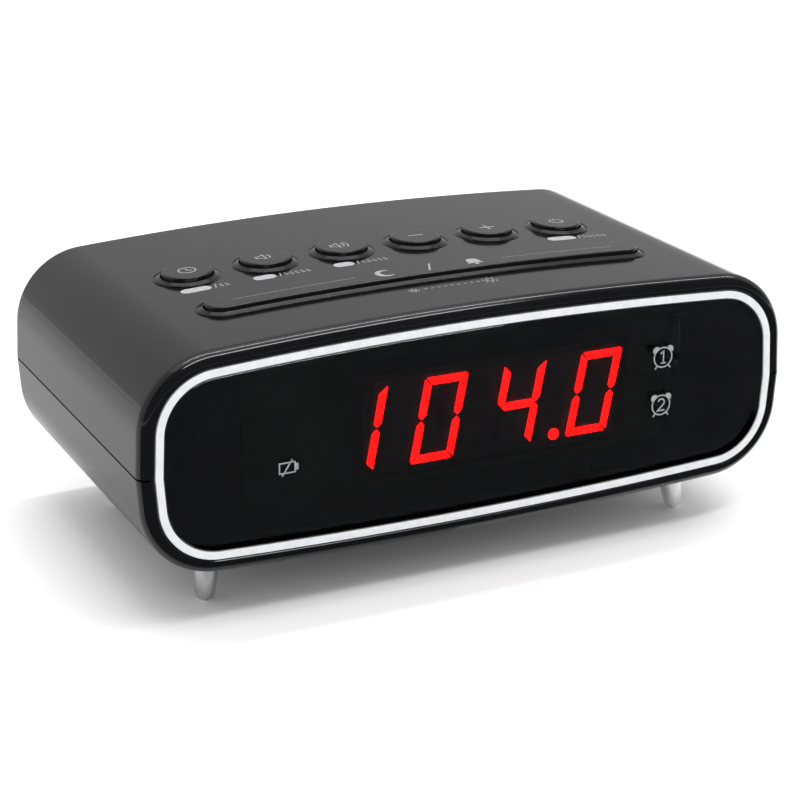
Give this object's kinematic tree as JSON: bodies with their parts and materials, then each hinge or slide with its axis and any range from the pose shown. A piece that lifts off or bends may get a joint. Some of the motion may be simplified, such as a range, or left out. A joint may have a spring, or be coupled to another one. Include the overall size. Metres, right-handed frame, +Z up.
{
  "type": "clock radio",
  "caption": "Low rounded clock radio with a smoked display face in a bright ring, round press buttons and a snooze bar on top, and splayed tapered feet.",
  "frame": {"origin": "on the ground under the middle of the case, between the feet", "axes": "+X to the right seen from the front, +Y to the back (the display faces -Y), +Z up"},
  "size_m": [0.186, 0.105, 0.0769],
  "materials": {
    "gloss_black": "gloss moulded",
    "cap_black": "gloss moulded",
    "bright_trim": "bright satin",
    "smoked_lens": "smoked, polished",
    "satin_metal": "satin",
    "circuit_board": "solder mask",
    "tin": "tinned",
    "chip_black": "moulded",
    "switch_white": "moulded",
    "display_grey": "moulded",
    "capacitor_sleeve": "sleeve",
    "magnet_grey": "ferrite",
    "paper_cone": "pulp",
    "soft_black": "matt",
    "ribbon_grey": "flexible"
  },
  "bodies": {
    "case": {"top_shell": "gloss_black", "bottom_shell": "gloss_black", "trim_ring": "bright_trim", "display_lens": "smoked_lens", "antenna_gland": "soft_black", "foot_front_left": "satin_metal", "foot_rear_left": "satin_metal", "foot_front_right": "satin_metal", "foot_rear_right": "satin_metal", "switch_set": "chip_black", "switch_volume_down": "chip_black", "switch_volume_up": "chip_black", "switch_minus": "chip_black", "switch_plus": "chip_black", "switch_power": "chip_black", "switch_snooze": "chip_black", "control_chip": "chip_black", "dc_jack": "chip_black", "key_board": "circuit_board", "main_board": "circuit_board", "display_board": "circuit_board", "led_display": "display_grey", "ribbon_cable": "ribbon_grey", "tuner_can": "tin", "clock_crystal": "tin", "speaker_basket": "tin", "battery_contact_positive": "tin", "battery_contact_negative": "tin", "battery_contact_bridge": "tin", "filter_capacitor": "capacitor_sleeve", "speaker_magnet": "magnet_grey", "case_screw_front_left": "tin", "case_screw_rear_left": "tin", "case_screw_front_right": "tin", "case_screw_rear_right": "tin", "key_board_screw_front_left": "tin", "key_board_screw_rear_left": "tin", "key_board_screw_front_right": "tin", "key_board_screw_rear_right": "tin"},
    "button_set": {"button_set": "cap_black", "plunger_set": "switch_white"},
    "button_volume_down": {"button_volume_down": "cap_black", "plunger_volume_down": "switch_white"},
    "button_volume_up": {"button_volume_up": "cap_black", "plunger_volume_up": "switch_white"},
    "button_minus": {"button_minus": "cap_black", "plunger_minus": "switch_white"},
    "button_plus": {"button_plus": "cap_black", "plunger_plus": "switch_white"},
    "button_power": {"button_power": "cap_black", "plunger_power": "switch_white"},
    "snooze_bar": {"snooze_bar": "cap_black", "plunger_snooze": "switch_white"},
    "battery_door": {"battery_door": "gloss_black"},
    "speaker_cone": {"speaker_cone": "paper_cone"}
  },
  "joints": [
    {"name": "press_set", "type": "slide", "parent": "case", "child": "button_set", "axis": [0, 0, -1], "range_m": [0, 0.001], "stiffness_N_per_m": 1000, "springref_m": -0.0003},
    {"name": "press_volume_down", "type": "slide", "parent": "case", "child": "button_volume_down", "axis": [0, 0, -1], "range_m": [0, 0.001], "stiffness_N_per_m": 1000, "springref_m": -0.0003},
    {"name": "press_volume_up", "type": "slide", "parent": "case", "child": "button_volume_up", "axis": [0, 0, -1], "range_m": [0, 0.001], "stiffness_N_per_m": 1000, "springref_m": -0.0003},
    {"name": "press_minus", "type": "slide", "parent": "case", "child": "button_minus", "axis": [0, 0, -1], "range_m": [0, 0.001], "stiffness_N_per_m": 1000, "springref_m": -0.0003},
    {"name": "press_plus", "type": "slide", "parent": "case", "child": "button_plus", "axis": [0, 0, -1], "range_m": [0, 0.001], "stiffness_N_per_m": 1000, "springref_m": -0.0003},
    {"name": "press_power", "type": "slide", "parent": "case", "child": "button_power", "axis": [0, 0, -1], "range_m": [0, 0.001], "stiffness_N_per_m": 1000, "springref_m": -0.0003},
    {"name": "press_snooze", "type": "slide", "parent": "case", "child": "snooze_bar", "axis": [0, 0, -1], "range_m": [0, 0.0012], "stiffness_N_per_m": 1500, "springref_m": -0.0003},
    {"name": "battery_door_hinge", "type": "hinge", "parent": "case", "child": "battery_door", "pos_m": [-0.044, -0.0055, 0.0131], "axis": [-1, 0, 0], "range_deg": [0, 70]},
    {"name": "cone_travel", "type": "slide", "parent": "case", "child": "speaker_cone", "axis": [0, 0, 1], "range_m": [-0.0008, 0.0008], "stiffness_N_per_m": 1500}
  ]
}
